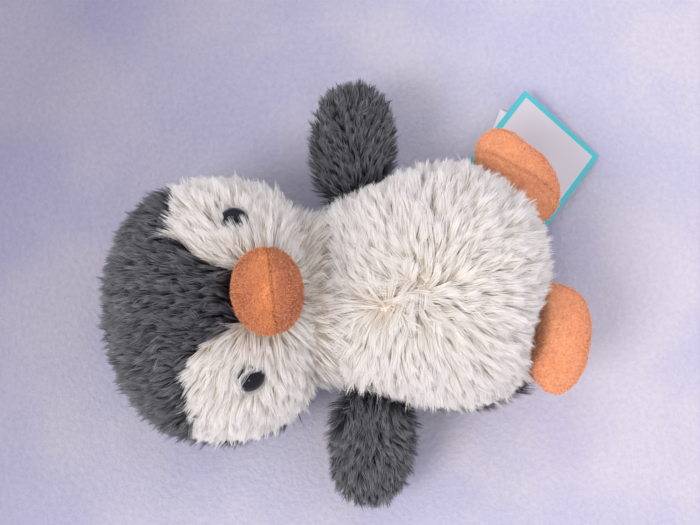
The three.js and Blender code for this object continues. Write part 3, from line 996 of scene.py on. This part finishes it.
def turned_mesh(name, profile, place, axis, segments=48):
    """A surface of revolution: pairs of radius and height along axis, from place."""
    helper = np.array([0.0, 0.0, 1.0]) if abs(axis[2]) < 0.9 else np.array([1.0, 0.0, 0.0])
    one = unit(np.cross(axis, helper))
    two = np.cross(axis, one)
    angles = np.arange(segments) * 2 * math.pi / segments
    round_way = np.cos(angles)[:, None] * one + np.sin(angles)[:, None] * two
    places = np.concatenate([place + radius * round_way + height * axis for radius, height in profile])
    here = np.arange(segments)
    after = np.roll(here, -1)
    band = np.stack([here, after, after + segments, here + segments], axis=1)
    faces = np.concatenate([band + ring * segments for ring in range(len(profile) - 1)])
    return mesh_from(name, places, faces)


def make_eyes():
    """Each eye is a dome on a shank that goes through the cloth."""
    material = eye_material()
    profile = list(EYE_SHANK)
    for step in range(1, EYE_STEPS + 1):
        angle = math.asin(EYE_RADIUS / EYE_BULGE) * (1 - step / EYE_STEPS)
        profile.append((max(EYE_BULGE * math.sin(angle), 0.02), EYE_BULGE * (math.cos(angle) - 1)))
    for side in ("left", "right"):
        top, axis = eye_axis(f"eye_{side}")
        name = f"eye_dome_{side}"
        eye = add_object(name, turned_mesh(name, profile, top, axis), material)
        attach(eye, "head")
        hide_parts(f"eye_{side}")


# ---- tag, label and small parts ----


def joint_line(name):
    joint = next(item for item in frame["joints"] if item["name"] == name)
    return np.array(joint["pos_m"]) / MM, unit(np.array(joint["axis"], float))


def tag_frame():
    """The fold's place, the directions along and across it, and the cards' outward direction."""
    fold_place, along = joint_line("tag_open")
    _, normal = joint_line("tag_swing")
    across = np.cross(normal, along)
    return fold_place, unit(along), unit(across), normal


def card_material():
    """A white card face, toned down with painted shade, with a teal band along its edges, in the card's own
    place across and along.
    """
    material, tree, shader = new_material("tag_card")
    place = tree.nodes.new("ShaderNodeUVMap")
    place.uv_map = "card"
    split = tree.nodes.new("ShaderNodeSeparateXYZ")
    tree.links.new(place.outputs[0], split.inputs[0])

    def maths(kind, one, two):
        node = tree.nodes.new("ShaderNodeMath")
        node.operation = kind
        for value, socket in ((one, node.inputs[0]), (two, node.inputs[1])):
            if isinstance(value, bpy.types.NodeSocket):
                tree.links.new(value, socket)
            else:
                socket.default_value = value
        return node.outputs[0]

    def to_edge(value):
        return maths("MINIMUM", value, maths("SUBTRACT", 1.0, value))

    edge = maths("MINIMUM", to_edge(split.outputs["X"]), to_edge(split.outputs["Y"]))
    band = maths("LESS_THAN", edge, CARD_BAND)
    colour = mixed(tree, "MIX", CARD_WHITE_PAINTED_SHADE, CARD_TEAL, band)
    tree.links.new(colour, shader.inputs["Base Color"])
    shader.inputs["Roughness"].default_value = 0.42
    return material


def sheet_grid():
    """Each grid point's share of the way along and across a sheet."""
    grid = np.linspace(0, 1, SHEET_STEPS + 1)
    return tuple(part.ravel() for part in np.meshgrid(grid, grid, indexing="ij"))


def make_tag():
    material = card_material()
    fold, along, across, normal = tag_frame()
    u, v = sheet_grid()
    for leaf, lift, bend in (("back", -CARD_GAP, -0.4), ("front", CARD_GAP, 1.0)):
        node = f"tag_{leaf}_leaf"
        places, _ = node_mesh(node)
        size = ((places - fold) @ along).max()
        middle = fold + size * (u[:, None] * along + v[:, None] * across)
        height = lift + bend * CARD_CURL * np.sin(math.pi * v)
        mesh = sheet_mesh(node + "_card", middle, height, CARD_THICK, normal)
        card = add_object(node + "_card", mesh, material)
        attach(card, f"tag_{leaf}")
        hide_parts(node)


def sheet_mesh(name, middle, height, thick, normal):
    """A thin closed slab round a grid of points, which are lifted by height along normal."""
    top = middle + (height + thick / 2)[:, None] * normal
    bottom = middle + (height - thick / 2)[:, None] * normal
    n = SHEET_STEPS + 1
    index = np.arange(n * n).reshape(n, n)
    squares = [index[:-1, :-1], index[1:, :-1], index[1:, 1:], index[:-1, 1:]]
    upper = np.stack(squares, axis=-1).reshape(-1, 4)
    lower = upper[:, ::-1] + n * n
    rim = np.concatenate([index[:, 0], index[-1, 1:], index[-2::-1, -1], index[0, -2:0:-1]])
    after = np.roll(rim, -1)
    walls = np.stack([after, rim, rim + n * n, after + n * n], axis=1)
    faces = np.concatenate([upper, lower, walls])
    mesh = mesh_from(name, np.concatenate([top, bottom]), faces, smooth=False)
    corners = np.empty(len(mesh.loops), np.int32)
    mesh.loops.foreach_get("vertex_index", corners)
    both = np.tile(np.stack(sheet_grid(), axis=1), (2, 1))
    layer = mesh.uv_layers.new(name="card")
    layer.data.foreach_set("uv", both[corners].astype(np.float32).ravel())
    return mesh


def satin_material():
    """A white woven ribbon with a fine grain and a soft gloss."""
    material, tree, shader = new_material("satin_ribbon")
    weave = noise(tree, 2600.0, 2.0)
    shade = colour_ramp(tree, weave, [(0.3, (0.74, 0.72, 0.77)), (0.7, (0.82, 0.80, 0.84))])
    tree.links.new(shade, shader.inputs["Base Color"])
    bump(tree, shader, weave, 0.3, 0.0002)
    shader.inputs["Roughness"].default_value = 0.38
    shader.inputs["Sheen Weight"].default_value = 0.2
    return material


def make_label():
    """The care label is one satin strip with a slight wave, and its root is inside the seam."""
    places, _ = node_mesh("care_label")
    middle = places.mean(axis=0)
    _, axes = np.linalg.eigh(np.cov((places - middle).T))
    normal, across, along = axes.T
    along = along * math.copysign(1.0, along @ (middle * (1, 1, 0)))
    normal = normal * math.copysign(1.0, normal[2])
    tip = middle + ((places - middle) @ along).max() * along
    width, length = LABEL_FLAT
    u, v = sheet_grid()
    flat = tip + length * (u[:, None] - 1) * along + width * (v[:, None] - 0.5) * across
    wave = LABEL_WAVE * np.sin(2.2 * math.pi * u) * u + 0.4 * np.cos(math.pi * v)
    mesh = sheet_mesh("care_label_ribbon", flat, wave, LABEL_THICK, normal)
    label = add_object("care_label_ribbon", mesh, satin_material())
    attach(label, "torso")
    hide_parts("care_label")


def make_small_parts():
    washer = plastic_material("washer_plastic", (0.8, 0.8, 0.76), 0.45)
    nylon = plastic_material("nylon", (0.85, 0.85, 0.85), 0.3)
    own = {"eye_washer_left": washer, "eye_washer_right": washer, "tag_fastener": nylon}
    for name, material in own.items():
        NODES[name].data.materials.clear()
        NODES[name].data.materials.append(material)


# ---- stage ----


def make_floor():
    """A pale lavender fleece with violet patches and a fine nap, painted darker towards the head's side as
    painted shade across the floor.
    """
    material, tree, shader = new_material("pale_fleece")
    place = tree.nodes.new("ShaderNodeTexCoord").outputs["Object"]
    # painted shade: the colour darkens across the floor towards the head's side
    slant = tree.nodes.new("ShaderNodeVectorMath")
    slant.operation = "DOT_PRODUCT"
    slant.inputs[1].default_value = (1.0, -0.7, 0.0)
    tree.links.new(place, slant.inputs[0])
    reach = tree.nodes.new("ShaderNodeMapRange")
    reach.inputs["From Min"].default_value = -0.25
    reach.inputs["From Max"].default_value = 0.14
    tree.links.new(slant.outputs["Value"], reach.inputs[0])
    painted_floor_shade = [(0.0, (0.29, 0.275, 0.35)), (0.55, (0.57, 0.55, 0.64)), (1.0, (0.61, 0.58, 0.66))]
    across = colour_ramp(tree, reach.outputs[0], painted_floor_shade)
    violet = [(0.42, (0.86, 0.87, 1.0)), (0.58, (1.0, 1.0, 1.0))]
    patches = colour_ramp(tree, noise(tree, 14.0, 6.0), violet)
    nap = noise(tree, 420.0, 6.0)
    speckle = colour_ramp(tree, nap, [(0.3, (0.93, 0.93, 0.95)), (0.7, (1.04, 1.04, 1.03))])
    colour = mixed(tree, "MULTIPLY", mixed(tree, "MULTIPLY", across, patches, 0.8), speckle, 1.0)
    tree.links.new(colour, shader.inputs["Base Color"])
    bump(tree, shader, nap, 0.5, 0.0012)
    shader.inputs["Roughness"].default_value = 1.0
    shader.inputs["Specular IOR Level"].default_value = 0.1
    half = 4000.0
    corners = np.array([(-half, -half, 0), (half, -half, 0), (half, half, 0), (-half, half, 0)])
    floor = add_object("floor", mesh_from("floor", corners, np.array([[0, 1, 2, 3]])), material)


def area_light(name, place, size, power, colour):
    data = bpy.data.lights.new(name, "AREA")
    data.shape = "DISK"
    data.size = size
    data.energy = power
    data.color = colour
    lamp = bpy.data.objects.new(name, data)
    bpy.context.scene.collection.objects.link(lamp)
    lamp.location = Vector(place)
    lamp.rotation_euler = (Vector(LIGHT_AIM) - Vector(place)).to_track_quat("-Z", "Y").to_euler()


def make_lights():
    area_light("key", (-1.9, -0.8, 2.3), 1.3, KEY_POWER, (1.0, 0.96, 0.92))
    area_light("fill", (1.6, 1.2, 1.8), 1.6, FILL_POWER, (0.92, 0.93, 1.0))
    for side, y in (("left", 0.75), ("right", -0.75)):
        area_light(f"catchlight_{side}", (-0.1, y, 1.0), 0.2, CATCHLIGHT_POWER, (1.0, 1.0, 1.0))
    world = bpy.data.worlds.new("studio")
    world.use_nodes = True
    background = world.node_tree.nodes["Background"]
    background.inputs[0].default_value = (0.95, 0.94, 1.0, 1)
    background.inputs[1].default_value = WORLD_STRENGTH
    bpy.context.scene.world = world
    bpy.context.scene.view_settings.view_transform = "Standard"


def make_camera():
    place = Vector(CAMERA_PLACE)
    forward = (Vector(CAMERA_AIM) - place).normalized()
    right = forward.cross(Vector((0, 1, 0))).normalized()
    up = right.cross(forward)
    turn = Matrix((right, up, -forward)).transposed()
    turn = turn @ Matrix.Rotation(CAMERA_ROLL, 3, "Z")
    data = bpy.data.cameras.new("camera")
    data.lens = LENS
    data.sensor_width = 36
    data.clip_start = 0.01
    data.clip_end = 20
    camera = bpy.data.objects.new("camera", data)
    bpy.context.scene.collection.objects.link(camera)
    camera.matrix_world = Matrix.Translation(place * MM) @ turn.to_4x4()
    bpy.context.scene.camera = camera


# ---- the whole scene ----

make_camera()
make_floor()
make_lights()
make_torso()
make_head()
make_neck()
make_wings()
make_beak()
make_feet()
make_eyes()
make_tag()
make_label()
make_small_parts()
